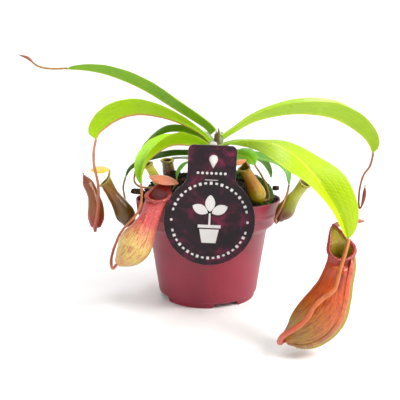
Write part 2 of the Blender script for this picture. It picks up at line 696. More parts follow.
def add_lump(sheet, middle, size):
    """A crumb or chip: a rough ball squeezed to a size."""
    points, faces = CRUMB
    seed = Vector((RANDOM.random(), RANDOM.random(), RANDOM.random())) * 50
    turn = Matrix.Rotation(RANDOM.random() * FULL_TURN, 3, "Z") @ Matrix.Rotation(
        RANDOM.uniform(-0.5, 0.5), 3, "X")
    start = len(sheet.verts)
    for point in points:
        place = point * (1 + 0.55 * noise.noise(point * 1.7 + seed))
        place = turn @ Vector((place.x * size[0], place.y * size[1], place.z * size[2]))
        sheet.point(Vector(middle) + place, seed.x % 1, seed.y % 1)
    for face in faces:
        sheet.faces.append([start + index for index in face])


def build_soil():
    sheet = Sheet()
    rings, segments = 64, 176
    rows = []
    for i in range(1, rings + 1):
        radius = SOIL_RADIUS * (i / rings) ** 0.8
        places = []
        for k in range(segments):
            a = 2 * math.pi * k / segments
            x, y = radius * math.cos(a), radius * math.sin(a)
            rough = 0.9 * noise.noise(Vector((x, y, 1)) * 0.55)
            rough += 0.55 * noise.noise(Vector((x, y, 2)) * 1.4)
            places.append((x, y, soil_height(x, y) + rough * (1 if i < rings - 1 else 0.3)))
        rows.append(sheet.row(places, [k / segments for k in range(segments)], i / rings))
    sheet.skin(rows)
    sheet.cap(rows[0], (0, 0, soil_height(0, 0)), 0, 0, flip=True)
    skirt = sheet.row([(0.97 * sheet.verts[i].x, 0.97 * sheet.verts[i].y, 72.0) for i in rows[-1]],
                      0, 1)
    sheet.join(rows[-1], skirt)
    sheet.cap(skirt, (0, 0, 70), 0, 0)
    for _ in range(1500):
        a = RANDOM.random() * FULL_TURN
        radius = 57.0 * math.sqrt(RANDOM.random())
        x, y = radius * math.cos(a), radius * math.sin(a)
        size = 0.5 + 1.5 * RANDOM.random() ** 3
        lift = size * 0.3
        add_lump(sheet, (x, y, soil_height(x, y) + lift),
                 (size * RANDOM.uniform(0.8, 1.7), size, size * RANDOM.uniform(0.5, 0.9)))
    sheet.build("soil_heap", soil_paint(), ("soil",), angle=60)


def moss_paint():
    p = Paint("moss_paint", roughness=0.8, specular=0.25)
    patch = p.noise(160.0, 4.0)
    base = p.ramp(patch, ((0.3, rgb(34, 62, 12)), (0.5, rgb(66, 112, 22)),
                          (0.68, rgb(120, 158, 48)), (0.8, rgb(158, 168, 84))))
    return p.finish(base, None, p.noise(1500.0, 3.0), depth=0.0005, strength=0.8)


def build_moss():
    """A low cushion with thousands of small pointed leaves standing on it."""
    sheet = Sheet()
    segment = 2 * math.pi / 48

    def cushion(x, y):
        return 2.0 + 1.8 * noise.noise(Vector((x, y, 4)) * 0.22)

    def edge_fade(radius, angle):
        around = step_up(43.6, 46, angle / segment) * (1 - step_up(58, 60.4, angle / segment))
        return around * step_up(24, 30, radius) * (1 - step_up(52, 55.6, radius))

    radial, turning = 26, 54
    top, low = [], []
    for i in range(radial + 1):
        radius = 24 + 31.5 * i / radial
        high_row, low_row = [], []
        for k in range(turning + 1):
            a = segment * (43.6 + 16.8 * k / turning)
            x, y = radius * math.cos(a), radius * math.sin(a)
            rise = 0.5 + edge_fade(radius, a) * cushion(x, y)
            high_row.append(sheet.point((x, y, soil_height(x, y) + rise), 0, 0))
            low_row.append(sheet.point((x, y, soil_height(x, y) - 0.6), 0, 0))
        top.append(high_row)
        low.append(low_row)
    sheet.shell(top, low)
    for _ in range(3600):
        radius = RANDOM.uniform(24.5, 55)
        a = segment * RANDOM.uniform(43.8, 60.2)
        fade = edge_fade(radius, a)
        if RANDOM.random() > 0.25 + fade:
            continue
        x, y = radius * math.cos(a), radius * math.sin(a)
        z = soil_height(x, y) + 0.3 + fade * cushion(x, y)
        lean = Vector((RANDOM.uniform(-1, 1), RANDOM.uniform(-1, 1), RANDOM.uniform(0.7, 2.0)))
        lean = lean.normalized() * RANDOM.uniform(0.9, 2.1)
        wide = lean.cross(Vector((RANDOM.uniform(-1, 1), RANDOM.uniform(-1, 1), 0.1))).normalized()
        wide *= 0.24
        thick = lean.cross(wide).normalized() * 0.1
        foot = Vector((x, y, z - 0.3))
        base = [sheet.point(foot + wide), sheet.point(foot - wide), sheet.point(foot + thick)]
        mid = foot + lean * 0.55
        tip = sheet.point(foot + lean)
        middle = [sheet.point(mid + wide * 1.1), sheet.point(mid - wide * 1.1),
                  sheet.point(mid + thick)]
        for i in range(3):
            j = (i + 1) % 3
            sheet.faces.append((base[i], base[j], middle[j], middle[i]))
            sheet.faces.append((middle[i], middle[j], tip))
        sheet.faces.append((base[2], base[1], base[0]))
    sheet.build("moss_cushion", moss_paint(), ("moss",), angle=60)


def bark_paint():
    p = Paint("bark_paint", roughness=0.9, specular=0.2)
    layer = p.noise(300.0, 5.0, distortion=1.2)
    base = p.ramp(layer, ((0.3, rgb(24, 17, 13)), (0.5, rgb(56, 40, 30)), (0.7, rgb(104, 78, 58))))
    return p.finish(base, None, layer, depth=0.0008, strength=0.9)


def build_bark():
    paint = bark_paint()
    for index in range(1, 6):
        low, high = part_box(f"bark_{index}")
        middle, half = (low + high) / 2 / MM, (high - low) / 2 / MM
        points, faces = ball(4)
        sheet = Sheet()
        for point in points:
            flat = Vector([math.copysign(abs(c) ** 0.6, c) for c in point])
            rough = 1 + 0.28 * noise.noise(point * 2.2 + Vector((index * 5, 0, 0)))
            rough += 0.10 * noise.noise(point * 7 + Vector((0, index * 5, 0)))
            place = flat * rough * 0.78
            sheet.point(middle + Vector((place.x * half.x, place.y * half.y, place.z * half.z)))
        sheet.faces += faces
        sheet.build(f"bark_chip_{index}", paint, (f"bark_{index}",), angle=60)


# ---------------------------------------------------------------- stem and leaves


def stem_paint():
    p = Paint("stem_paint", roughness=0.5)
    base = p.ramp(p.noise(90.0, 4.0), ((0.35, rgb(96, 62, 24)), (0.55, rgb(140, 104, 34)),
                                       (0.7, rgb(150, 140, 40))))
    return p.finish(base, None, p.noise(500.0, 3.0), depth=0.0004, strength=0.5)


def build_stem():
    sheet = Sheet()
    path = spline(((7, 0, 86.5), (7.4, 0, 104), (7.2, 0.2, 120), (7.6, 0.8, 135.3)), 14)

    def radius(s):
        return read_at((3.1, 3.2, 3.7, 2.3), s) * (1 + 0.05 * math.sin(s * 40))

    add_tube(sheet, path, radius, 20)
    for low, high, thick in (((7.6, -1.2, 130), (8.6, -2.2, 140.5), 1.6),
                             ((6.4, 0.6, 131), (6.6, 1.6, 138), 1.3)):
        spear = spline((low, Vector(low).lerp(Vector(high), 0.5) + Vector((0.5, 0, 0)), high), 8)
        add_tube(sheet, spear, lambda s, t=thick: t * (1 - s) ** 0.6 + 0.12, 10, zone=1.0)
    sheet.build("stem_with_bud", stem_paint(), ("stem",))


def leaf_paint(name, near, far, under, rib, edge, rib_width=0.05):
    """near and far colour the upper face from the base to the tip."""
    p = Paint(name, roughness=LEAF_ROUGHNESS, coat=0.08, specular=0.32)
    away = p.calc("ABSOLUTE", p.minus(p.times(p.v, 2.0), 1.0))
    patch = p.noise(34.0, 3.0)
    top = p.mix(p.plus(p.u, p.times(p.minus(patch, 0.5), 0.9)), near, far)
    fine = p.noise(1.0, 3.0, p.vector(p.times(p.u, 90.0), p.times(away, 5.0)))
    slanted = p.minus(p.times(p.u, 150.0), p.times(away, 16.0))
    veins = p.calc("POWER", p.calc("ABSOLUTE", p.calc("SINE", slanted)), 6.0)
    lengthwise = p.calc("POWER", p.calc("ABSOLUTE", p.calc("SINE", p.times(away, 13.0))), 14.0)
    face = p.mix(p.times(p.window(fine, 0.45, 0.75), 0.22), top, far)
    face = p.mix(p.times(veins, 0.10), face, edge)
    face = p.mix(p.times(lengthwise, 0.12), face, near)
    back = p.mix(p.window(patch, 0.4, 0.7), under, p.mix(0.35, under, near))
    back = p.mix(p.times(lengthwise, 0.25), back, edge)
    colour = p.mix(p.zone(), face, back)
    spots = p.window(p.cells(330.0), 0.09, 0.03)
    colour = p.mix(p.times(spots, 0.12), colour, rgb(120, 120, 30))
    colour = p.mix(p.times(p.window(away, 0.93, 0.985), 0.75), colour, edge)
    colour = p.mix(p.times(p.window(away, rib_width * 1.5, rib_width * 0.6), 0.9), colour, rib)
    rough = p.plus(p.times(p.noise(75.0, 3.0), 0.22), LEAF_ROUGHNESS - 0.09)
    height = p.plus(p.times(veins, -0.35),
                    p.plus(p.times(lengthwise, -0.5),
                           p.times(p.noise(260.0, 3.0), 0.8)))
    return p.finish(colour, rough, height, depth=0.00035, strength=0.55)


def blade_share(s, leaf):
    power = math.log(0.5) / math.log(leaf["widest"])
    return max(math.sin(math.pi * min(s, 1.0) ** power), 0.0) ** leaf["blunt"]


def build_leaf(name, leaf, paint):
    """A thin blade whose halves rise from a grooved midrib, with a gently waved edge."""
    stations, half_steps = 72, 11
    points = even_points(leaf["rib"], stations)
    directions = tangents(points)
    reach = points[-1] - points[0]
    level = Vector((-reach.y, reach.x, 0)).normalized()
    sheet = Sheet()
    top_rows, under_rows = [], []
    seed = sum(ord(c) for c in name)
    for index, (point, along) in enumerate(zip(points, directions)):
        s = index / (stations - 1)
        side = (level - along * level.dot(along)).normalized()
        up = along.cross(side)
        turn = Matrix.Rotation(math.radians(smooth_at(leaf["roll"], s)), 3, along)
        side, up = turn @ side, turn @ up
        rise = math.radians(smooth_at(leaf["fold"], s))
        half = math.hypot(leaf["width"] * blade_share(s, leaf), leaf["base"] * (1 - s) ** 2) + 0.45
        body = 0.22 + 0.55 * (1 - s) ** 5
        top, under, across = [], [], []
        for step in range(-half_steps, half_steps + 1):
            share = abs(step) / half_steps
            out = share * half
            wave = 0.045 * half * share ** 2 * noise.noise(
                Vector((s * 9, 3 if step > 0 else 8, seed * 0.37)))
            lift = out * math.sin(rise) - 0.12 * out * out / max(half, 1) + wave
            place = point + side * (math.copysign(out, step) * math.cos(rise)) + up * lift
            tilt = 0.0 if step == 0 else -0.6 * math.copysign(rise, step * rise)
            normal = (up * math.cos(tilt) + side * math.sin(tilt)).normalized()
            groove = math.exp(-(out / 0.9) ** 2)
            thick = body * (1 - 0.75 * share ** 4)
            rib = (0.28 + 0.75 * (1 - s)) * math.exp(-(out / 1.0) ** 2)
            top.append(place + normal * (thick - 0.22 * groove))
            under.append(place - normal * (thick + rib))
            across.append(0.5 + 0.5 * step / half_steps)
        top_rows.append(sheet.row(top, [s] * len(top), across, 0.0))
        under_rows.append(sheet.row(under, [s] * len(top), across, 1.0))
    sheet.shell(top_rows, under_rows)
    sheet.build(f"{name}_blade", paint, (name,), angle=70)


# ---------------------------------------------------------------- tendrils


def tendril_paint(name, first, last):
    p = Paint(name, roughness=0.38, coat=0.15)
    colour = p.mix(p.u, first, last)
    colour = p.mix(p.times(p.window(p.noise(240.0, 4.0), 0.45, 0.75), 0.4), colour,
                   rgb(120, 48, 24))
    return p.finish(colour, None, p.noise(900.0, 3.0), depth=0.0002, strength=0.5)


def build_tendril(place, tendril, first, last):
    sheet = Sheet()
    start = Vector(LEAVES[place]["rib"][-1])
    end = []
    if place in PITCHERS:
        end = [Vector(PITCHERS[place]["axis"][0])]
    path = spline([start, *tendril["route"], *end], 7)
    near, far = tendril["radii"]

    def radius(s):
        swell = 1 + 0.06 * math.sin(s * 57)
        return (near + (far - near) * s) * swell

    add_tube(sheet, path, radius, 12)
    paint = tendril_paint(f"tendril_paint_{place}", first, last)
    sheet.build(f"tendril_{place}_stalk", paint, (f"tendril_{place}",))


# ---------------------------------------------------------------- pitchers and lids


def pitcher_paint(name, stops, inside, vein, vein_share, speck):
    """stops colour the outside from the foot, 0, to the mouth, 1."""
    p = Paint(name, roughness=0.3, coat=0.35, specular=0.4)
    wander = p.times(p.minus(p.noise(70.0, 4.0), 0.5), 0.30)
    skin = p.ramp(p.plus(p.u, wander), stops)
    lines = p.noise(1.0, 4.0, p.vector(p.times(p.u, 9.0), p.times(p.v, 62.0)))
    skin = p.mix(p.times(p.window(lines, 0.47, 0.62), vein_share), skin, vein)
    net = p.noise(1.0, 5.0, p.vector(p.times(p.u, 42.0), p.times(p.v, 60.0)))
    skin = p.mix(p.times(p.window(net, 0.52, 0.66), vein_share * 0.8), skin, vein)
    if speck:
        dots = p.window(p.noise(650.0, 3.0), 0.60, 0.70)
        fade = p.window(p.u, 0.35, 0.75)
        skin = p.mix(p.times(p.times(dots, fade), 0.65), skin, speck)
    freckles = p.window(p.noise(420.0, 2.0), 0.60, 0.74)
    skin = p.mix(p.times(freckles, 0.22), skin, vein)
    colour = p.mix(p.zone(), skin, inside)
    height = p.plus(p.times(lines, 0.8), p.times(p.noise(420.0, 3.0), 0.5))
    return p.finish(colour, None, height, depth=0.00045, strength=0.6)


def lip_paint(name, colour, dark):
    p = Paint(name, roughness=0.22, coat=0.5)
    ribs = p.calc("ABSOLUTE", p.calc("SINE", p.times(p.v, 170.0)))
    base = p.mix(p.times(ribs, 0.6), dark, colour)
    return p.finish(base, None, ribs, depth=0.0003, strength=0.6)


def lid_oval(lid, share, height):
    centre, normal = Vector(lid["centre"]), Vector(lid["normal"]).normalized()
    along = Vector(lid["along"])
    along = (along - normal * along.dot(normal)).normalized()
    across = normal.cross(along)
    dome = 0.1 * lid["length"] * (1 - share ** 2)
    count = 48
    return [centre + along * (lid["length"] / 2 * share * math.cos(a))
            + across * (lid["width"] / 2 * share * math.sin(a)) + normal * (height + dome)
            for a in (2 * math.pi * k / count for k in range(count))]


class Jug:
    """A pitcher's fine rings and the frame at each, so that other pieces can follow its skin."""

    SIDES = 48
    STATIONS = 64
    NECK_SHARPNESS = 5

    def __init__(self, pitcher):
        self.pitcher = pitcher
        self.points = even_points(pitcher["axis"], self.STATIONS)
        self.normals = tangents(self.points)
        self.back = Vector((1, 0, 0))
        self.mouth = self.normals[-1]
        if pitcher["mouth"]:
            self.mouth = Vector(pitcher["mouth"]).normalized()
            away = (-self.mouth.x, -self.mouth.y, 0)
            self.back = Vector(pitcher.get("back", away)).normalized()
            for index in range(self.STATIONS):
                turn = step_up(0.80, 1.0, index / (self.STATIONS - 1))
                self.normals[index] = self.normals[index].lerp(self.mouth, turn).normalized()
        self.pull = self.neck_pull()

    def radius(self, s):
        return max(smooth_at(self.pitcher["radii"], s), 0.3)

    def at(self, s, angle, out=0.0):
        """A point on the skin; the angle is 0 at the back and pi at the front."""
        place = min(max(s, 0.0), 1.0) * (self.STATIONS - 1)
        low = min(int(place), self.STATIONS - 2)
        t = place - low
        centre = self.points[low].lerp(self.points[low + 1], t)
        normal = self.normals[low].lerp(self.normals[low + 1], t).normalized()
        return self.on(centre, normal, self.radius(s) + out, angle)

    def on(self, centre, normal, radius, angle):
        back = (self.back - normal * self.back.dot(normal)).normalized()
        across = normal.cross(back)
        return (centre + back * (radius * 0.92 * math.cos(angle))
                + across * (radius * math.sin(angle)))

    def neck_pull(self):
        """How far the back of the mouth is drawn out to reach the side that the lid hangs by."""
        lid = self.pitcher["lid"]
        if not lid:
            return Vector()
        start = self.on(self.points[-1] + self.mouth * 1.1, self.mouth, self.radius(1.0) + 0.4, 0.0)
        hinge_side = Vector(lid.get("hinge", self.back))
        hinge = max(lid_oval(lid, 1.0, 0.0), key=lambda p: p.dot(hinge_side))
        return (hinge - start) * 1.02

    def drawn(self, radius, height, angle):
        """A point on the mouth's rim, drawn out into a neck at the back."""
        share = max(math.cos(angle), 0.0) ** self.NECK_SHARPNESS
        centre = self.points[-1] + self.mouth * height
        return self.on(centre, self.mouth, radius, angle) + self.pull * share

    def ring(self, centre, normal, radius):
        return [self.on(centre, normal, radius, 2 * math.pi * k / self.SIDES)
                for k in range(self.SIDES)]


def add_wing(sheet, jug, turn, first, last, height, slope=0.0, teeth=0, zone=0.0, hair=0.0,
             wide_by=1.0):
    """A ridge along the skin, turned from the front by turn at the foot, with teeth on its crest."""
    def angle_at(s):
        return HALF_TURN + turn + slope * s

    count = 40
    half = 0.35 * wide_by
    rows = []
    for i in range(count + 1):
        s = first + (last - first) * i / count
        a = angle_at(s)
        fade = math.sin(math.pi * i / count) ** 0.5 if 0 < i < count else 0.05
        base = jug.at(s, a, -0.4)
        crest = jug.at(s, a, height * fade)
        out = (crest - base).normalized()
        along = (jug.at(min(s + 0.01, 1), a) - jug.at(s - 0.01, a)).normalized()
        wide = out.cross(along).normalized() * half
        rows.append(sheet.row([base - wide * 2.2, crest - wide * 0.5, crest + wide * 0.5,
                               base + wide * 2.2], s, a / FULL_TURN, zone))
    sheet.skin(rows)
    sheet.faces.append(tuple(rows[0]))
    sheet.faces.append(tuple(reversed(rows[-1])))
    for i in range(teeth):
        s = first + (last - first) * (i + 0.5) / teeth
        a = angle_at(s)
        fade = math.sin(math.pi * (i + 0.5) / teeth) ** 0.5
        root = jug.at(s, a, height * fade * 0.8)
        out = (jug.at(s, a, 2.0) - jug.at(s, a)).normalized()
        lean = (out + Vector((0, 0, RANDOM.uniform(-0.5, 0.5)))).normalized()
        length = hair * RANDOM.uniform(0.5, 1.1)
        add_hair(sheet, root, lean, length * 0.5, length, zone)


def build_pitcher(place, pitcher, look):
    jug = Jug(pitcher)
    sheet = Sheet()
    last = Jug.STATIONS - 1
    sides = Jug.SIDES
    vs = [k / sides for k in range(sides)]
    rows = []
    for index in range(Jug.STATIONS):
        s = index / last
        ring = jug.ring(jug.points[index], jug.normals[index], jug.radius(s))
        dented = []
        for k, p in enumerate(ring):
            bump = 0.16 * noise.noise(p * 0.16) + 0.05 * noise.noise(p * 0.6)
            dented.append(p + (p - jug.points[index]).normalized() * bump)
        rows.append(sheet.row(dented, s, vs))
    sheet.skin(rows)
    sheet.cap(rows[0], jug.points[0] - jug.normals[0] * 0.3 * jug.radius(0), 0, 0.5, flip=True)
    pieces = (f"pitcher_{place}",)
    paint = pitcher_paint(f"pitcher_paint_{place}", look["stops"], look["inside"], look["vein"],
                          look.get("vein_share", 0.35), look.get("speck"))
    if not pitcher["mouth"]:
        sheet.cap(rows[-1], jug.points[-1] + jug.normals[-1] * 0.6 * jug.radius(1), 1, 0.5)
        for k in range(look["hairs"]):
            a = FULL_TURN * k / look["hairs"]
            lean = (jug.normals[-1] + Vector((math.cos(a), math.sin(a), 0.3)) * 0.5).normalized()
            add_hair(sheet, jug.points[-1], lean, 2, 3.6)
        sheet.build(f"pitcher_{place}_bud", paint, pieces)
        return
    rim = jug.radius(1.0)
    inner = rows[-1]
    for radius, zone in ((rim, 0.0), (rim - PITCHER_WALL, 1.0)):
        neck = [jug.drawn(radius, 0.3, 2 * math.pi * v) for v in vs]
        row = sheet.row(neck, 1, vs, zone)
        sheet.join(inner, row)
        inner = row
    row = sheet.row(jug.ring(jug.points[-1], jug.mouth, rim - PITCHER_WALL), 1, vs, 1.0)
    sheet.join(inner, row)
    previous = row
    floor = int(0.42 * last)
    for index in range(last - 1, floor - 1, -2):
        s = index / last
        row = sheet.row(jug.ring(jug.points[index], jug.normals[index], jug.radius(s) - PITCHER_WALL),
                        s, vs, 1.0)
        sheet.join(previous, row)
        previous = row
    sheet.cap(previous, jug.points[floor] - jug.normals[floor] * 1.2, 0.4, 0.5, 1.0)
    for wing in look.get("wings", ()):
        add_wing(sheet, jug, **wing)
    sheet.build(f"pitcher_{place}_jug", paint, pieces)
    build_lip(place, jug, rim, look)


def build_lip(place, jug, rim, look):
    """The rolled and ribbed lip, drawn up at the back into a neck under the lid."""
    sheet = Sheet()
    sides, roll = 144, 12
    tube = look.get("lip_size", 1.2)
    rings = []
    for k in range(sides):
        a = 2 * math.pi * k / sides
        narrow = 1 - 0.45 * max(math.cos(a), 0.0) ** 8
        rib = 1 + 0.10 * math.sin(a * 36)
        ring = []
        for j in range(roll):
            b = 2 * math.pi * j / roll
            out = math.cos(b) * tube * rib * narrow
            up = math.sin(b) * tube * 0.75 * rib
            ring.append(jug.drawn(rim - 0.15 + out, 0.35 + up, a))
        rings.append(sheet.row(ring, [0.5 + 0.5 * math.cos(2 * math.pi * j / roll)
                                      for j in range(roll)], k / sides))
    for k in range(sides):
        sheet.join(rings[k], rings[(k + 1) % sides])
    if look.get("spur"):
        root = jug.drawn(rim, 1.0, 0.0)
        for k in range(look["spur"]):
            lean = (jug.back + Vector((RANDOM.uniform(-0.9, 0.9), RANDOM.uniform(-0.3, 0.3),
                                       RANDOM.uniform(0.1, 1.0)))).normalized()
            add_hair(sheet, root, lean, 1.4, 2.8, foot=0.18)
    paint = lip_paint(f"lip_paint_{place}", look["lip"], look["lip_dark"])
    sheet.build(f"pitcher_{place}_lip", paint)


def lid_paint(name, base, vein, under):
    p = Paint(name, roughness=0.36, coat=0.2)
    spread = p.noise(1.0, 4.0, p.vector(p.times(p.u, 5.0), p.times(p.v, 26.0)), 0.6)
    skin = p.mix(p.times(p.window(spread, 0.48, 0.64), 0.7), base, vein)
    colour = p.mix(p.zone(), skin, under)
    return p.finish(colour, None, spread, depth=0.0004, strength=0.6)


def build_lid(place, lid, colours):
    sheet = Sheet()
    shares = [0.12, 0.3, 0.5, 0.7, 0.86, 0.96, 1.0]
    normal = Vector(lid["normal"]).normalized()
    tops, unders = [], []
    for share in shares:
        for rows, height, zone in ((tops, 0.38, 0.0), (unders, -0.38, 1.0)):
            edge = (1 - 0.9 * step_up(0.9, 1.0, share))
            ring = lid_oval(lid, share, height * edge)
            shaped = []
            for k, p in enumerate(ring):
                a = 2 * math.pi * k / len(ring)
                keel = 0.25 * math.exp(-(math.sin(a) * share * 5) ** 2)
                wave = 0.35 * share ** 3 * math.sin(a * 3 + len(place))
                shaped.append(p + normal * (wave + keel))
            us = [0.5 + 0.5 * share * math.cos(FULL_TURN * k / 48) for k in range(48)]
            vs = [0.5 + 0.5 * share * math.sin(FULL_TURN * k / 48) for k in range(48)]
            rows.append(sheet.row(shaped, us, vs, zone))
    for rows in (tops, unders):
        sheet.skin(rows)
    sheet.join(tops[-1], unders[-1])
    dome = Vector(lid["centre"]) + normal * (0.1 * lid["length"])
    sheet.cap(tops[0], dome + normal * 0.6, 0.5, 0.5, flip=True)
    sheet.cap(unders[0], dome - normal * 0.15, 0.5, 0.5, 1.0)
    paint = lid_paint(f"lid_paint_{place}", *colours)
    sheet.build(f"lid_{place}_cover", paint, (f"lid_{place}",), angle=70)


# ---------------------------------------------------------------- tag and stake


def tag_place(x, z, depth):
    """A point in the tag's plane, depth millimetres in front of its front face."""
    spot = Matrix.Rotation(-TAG_TILT, 3, "Y") @ Vector((x, -TAG_THICKNESS / 2 - depth, z))
    return spot + Vector(TAG_CENTRE)


def tag_outline():
    half = TAG_NECK_WIDTH / 2
    opening = math.asin((half + TAG_FILLET) / TAG_RADIUS)
    start, sweep = math.pi / 2 + opening, 2 * (math.pi - opening)
    outline = [(TAG_RADIUS * math.cos(start + sweep * k / 120),
                TAG_RADIUS * math.sin(start + sweep * k / 120)) for k in range(121)]
    shoulder = math.sqrt(TAG_RADIUS ** 2 - half ** 2) + TAG_FILLET
    outline += [(half + 0.25, shoulder - 0.6), (half, shoulder + 0.8)]
    for side in (1, -1):
        for k in range(11):
            a = math.radians(9 * k) + (0 if side == 1 else math.pi / 2)
            outline.append((side * (half - TAG_CORNER) + TAG_CORNER * math.cos(a),
                            TAG_NECK_TOP - TAG_CORNER + TAG_CORNER * math.sin(a)))
    outline += [(-half, shoulder + 0.8), (-half - 0.25, shoulder - 0.6)]
    return outline


def hole_outline():
    x, z, radius, point = HOLE
    outline = [(x + radius * math.cos(math.radians(a)), z + radius * math.sin(math.radians(a)))
               for a in range(-20, 201, 10)]
    wide, low = radius * HOLE_SIDE[0], z - radius * HOLE_SIDE[1]
    for side, share in ((-1, 0.35), (-1, 0.7), (0, 1), (1, 0.7), (1, 0.35)):
        down = (x, z - point) if side == 0 else (
            x + side * wide * (1 - share), low - (point - 1) * share)
        outline.append(down)
    return outline


def tag_paint():
    p = Paint("tag_paint", roughness=0.5, specular=0.25)
    cloud = p.noise(75.0, 5.0, distortion=0.8)
    blot = p.noise(230.0, 4.0)
    base = p.ramp(cloud, ((0.38, rgb(24, 10, 20)), (0.5, rgb(44, 12, 30)), (0.6, rgb(96, 16, 50)),
                          (0.72, rgb(128, 26, 66))))
    base = p.mix(p.times(p.window(blot, 0.42, 0.62), 0.75), base, rgb(26, 10, 20))
    colour = p.mix(p.zone(), base, rgb(236, 232, 228))
    return p.finish(colour, None, p.noise(1200.0, 2.0), depth=0.0001, strength=0.2)


def plain_paint(name, colour, roughness):
    p = Paint(name, roughness=roughness)
    shade = p.mix(0.06, colour, (0.2, 0.2, 0.2, 1))
    return p.finish(p.mix(p.noise(90.0, 4.0), colour, shade), None, p.noise(800.0, 2.0),
                    depth=0.0001, strength=0.3)


def build_tag():
    """Front and back faces with the hole left open, joined by a white core at every edge."""
    outline, hole = tag_outline(), hole_outline()
    sheet = Sheet()
    rims = []
    for depth in (0.0, -TAG_THICKNESS):
        work = bmesh.new()
        loops = []
        for ring in (outline, hole):
            verts = [work.verts.new((x, z, 0)) for x, z in ring]
            loops.append([work.edges.new((verts[k], verts[(k + 1) % len(verts)]))
                          for k in range(len(verts))])
        bmesh.ops.triangle_fill(work, use_beauty=True, edges=loops[0] + loops[1])
        work.verts.index_update()
        start = len(sheet.verts)
        for vert in work.verts:
            sheet.point(tag_place(vert.co.x, vert.co.y, depth))
        for face in work.faces:
            order = tuple(start + v.index for v in face.verts)
            sheet.faces.append(order if depth else tuple(reversed(order)))
        work.free()
        rims.append(start)
    front, back = rims
    offset = 0
    for ring in (outline, hole):
        for k in range(len(ring)):
            j = (k + 1) % len(ring)
            sheet.faces.append((front + offset + k, front + offset + j, back + offset + j,
                                back + offset + k))
        offset += len(ring)
    sheet.build("tag_card_face", tag_paint(), ("tag",), angle=30)
    edges = Sheet()
    for ring in (outline, hole):
        loops = []
        for depth in (-0.08, -TAG_THICKNESS + 0.08):
            loops.append(ring_of(edges, ring, depth))
        inner = [ring_of(edges, ring, depth, -0.35) for depth in (-TAG_THICKNESS + 0.08, -0.08)]
        for a, b in zip(loops + inner, loops[1:] + inner + loops[:1]):
            edges.join(a, b)
    edges.build("tag_card_edge", plain_paint("tag_edge_paint", rgb(236, 230, 226), 0.7))


def ring_of(sheet, ring, depth, shrink=0.05):
    """The outline again, moved out by shrink along its own normals."""
    count = len(ring)
    area = sum(a[0] * b[1] - b[0] * a[1] for a, b in zip(ring, ring[1:] + ring[:1]))
    turn = 1 if area > 0 else -1
    hole_side = -1 if max(abs(x) for x, _ in ring) < 6 else 1
    places = []
    for k in range(count):
        before, after = Vector(ring[k - 1]), Vector(ring[(k + 1) % count])
        run = (after - before).normalized()
        out = Vector((run.y, -run.x)) * turn * hole_side
        spot = Vector(ring[k]) + out * shrink
        places.append(tag_place(spot.x, spot.y, depth))
    return sheet.row(places, 0, 0)


def add_flat(sheet, outline, lift=0.06):
    """A printed shape: a thin raised plate on the front of the tag."""
    front = [sheet.point(tag_place(x, z, lift)) for x, z in outline]
    back = [sheet.point(tag_place(x, z, -0.02)) for x, z in outline]
    sheet.faces.append(tuple(reversed(front)))
    sheet.faces.append(tuple(back))
    sheet.join(front, back)


def dot(x, z, radius):
    return [(x + radius * math.cos(b), z + radius * math.sin(b))
            for b in (math.pi * k / 8 for k in range(16))]


def bar(half, z, far_half, far_z):
    """A bar between two heights, with half its width at each."""
    return [(-half, z), (half, z), (far_half, far_z), (-far_half, far_z)]


def petal(x, z, length, width, angle):
    """A pointed leaf shape from its foot, leaning by an angle from upright."""
    outline = []
    for k in range(13):
        t = k / 12
        outline.append((width / 2 * math.sin(math.pi * t) ** 0.7, length * t))
    for k in range(11, 0, -1):
        t = k / 12
        outline.append((-width / 2 * math.sin(math.pi * t) ** 0.7, length * t))
    c, s = math.cos(angle), math.sin(angle)
    return [(x + px * c + pz * s, z - px * s + pz * c) for px, pz in outline]


def build_print():
    """A plain potted sprout inside a ring of dashes, with a bar and dots on the neck."""
    sheet = Sheet()
    dashes = 44
    middle = 27.2
    for k in range(dashes):
        if k % 22 in (0, 1, 21):
            continue
        a = 2 * math.pi * k / dashes
        tall = 1.05 if k % 2 else 0.7
        outline = []
        for radius, turn in ((middle - tall, -0.035), (middle + tall, -0.035),
                             (middle + tall, 0.035), (middle - tall, 0.035)):
            outline.append((radius * math.cos(a + turn), radius * math.sin(a + turn)))
        add_flat(sheet, outline)
    for x in (-middle, middle):
        add_flat(sheet, dot(x, 0.0, 0.9))
    for shape in ((7.0, -6.0, 5.0, -16.0), (8.2, -2.8, 8.2, -5.0), (0.7, -2.8, 0.6, 5.5)):
        add_flat(sheet, bar(*shape))
    for angle in (0.0, 1.15, -1.15):
        add_flat(sheet, petal(1.6 * math.sin(angle), 5.2 + 1.6 * math.cos(angle), 12, 7.0, angle))
    for k in range(7):
        add_flat(sheet, dot(-9.6 + 3.2 * k, 34.2, 0.95))
    add_flat(sheet, bar(4.6, 29.6, 4.6, 29.2))
    sheet.build("tag_print", plain_paint("tag_print_paint", rgb(240, 236, 234), 0.5),
                angle=30)


